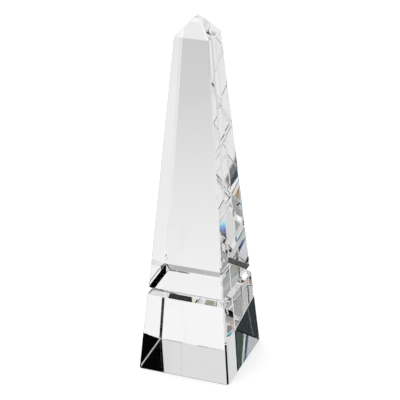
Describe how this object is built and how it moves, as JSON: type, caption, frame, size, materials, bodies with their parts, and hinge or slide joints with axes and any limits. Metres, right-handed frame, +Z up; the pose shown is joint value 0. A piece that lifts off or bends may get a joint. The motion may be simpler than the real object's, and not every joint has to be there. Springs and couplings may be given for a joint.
{
  "type": "crystal award",
  "caption": "Clear crystal obelisk award: a tall tapered square column with a pyramid tip, glued by a clear film to a tapered square plinth with a V groove between them.",
  "frame": {"origin": "centre of the plinth's underside, on the surface the award stands on", "axes": "+Z up along the obelisk's axis, front face towards -Y, right face towards +X"},
  "size_m": [0.0634, 0.0634, 0.2413],
  "materials": {
    "plinth_crystal": "polished optical crystal, water clear",
    "column_crystal": "polished optical crystal, water clear",
    "cured_adhesive": "clear UV-cured adhesive"
  },
  "bodies": {
    "root": {"plinth": "plinth_crystal", "obelisk_column": "column_crystal", "adhesive_film": "cured_adhesive"}
  },
  "joints": []
}
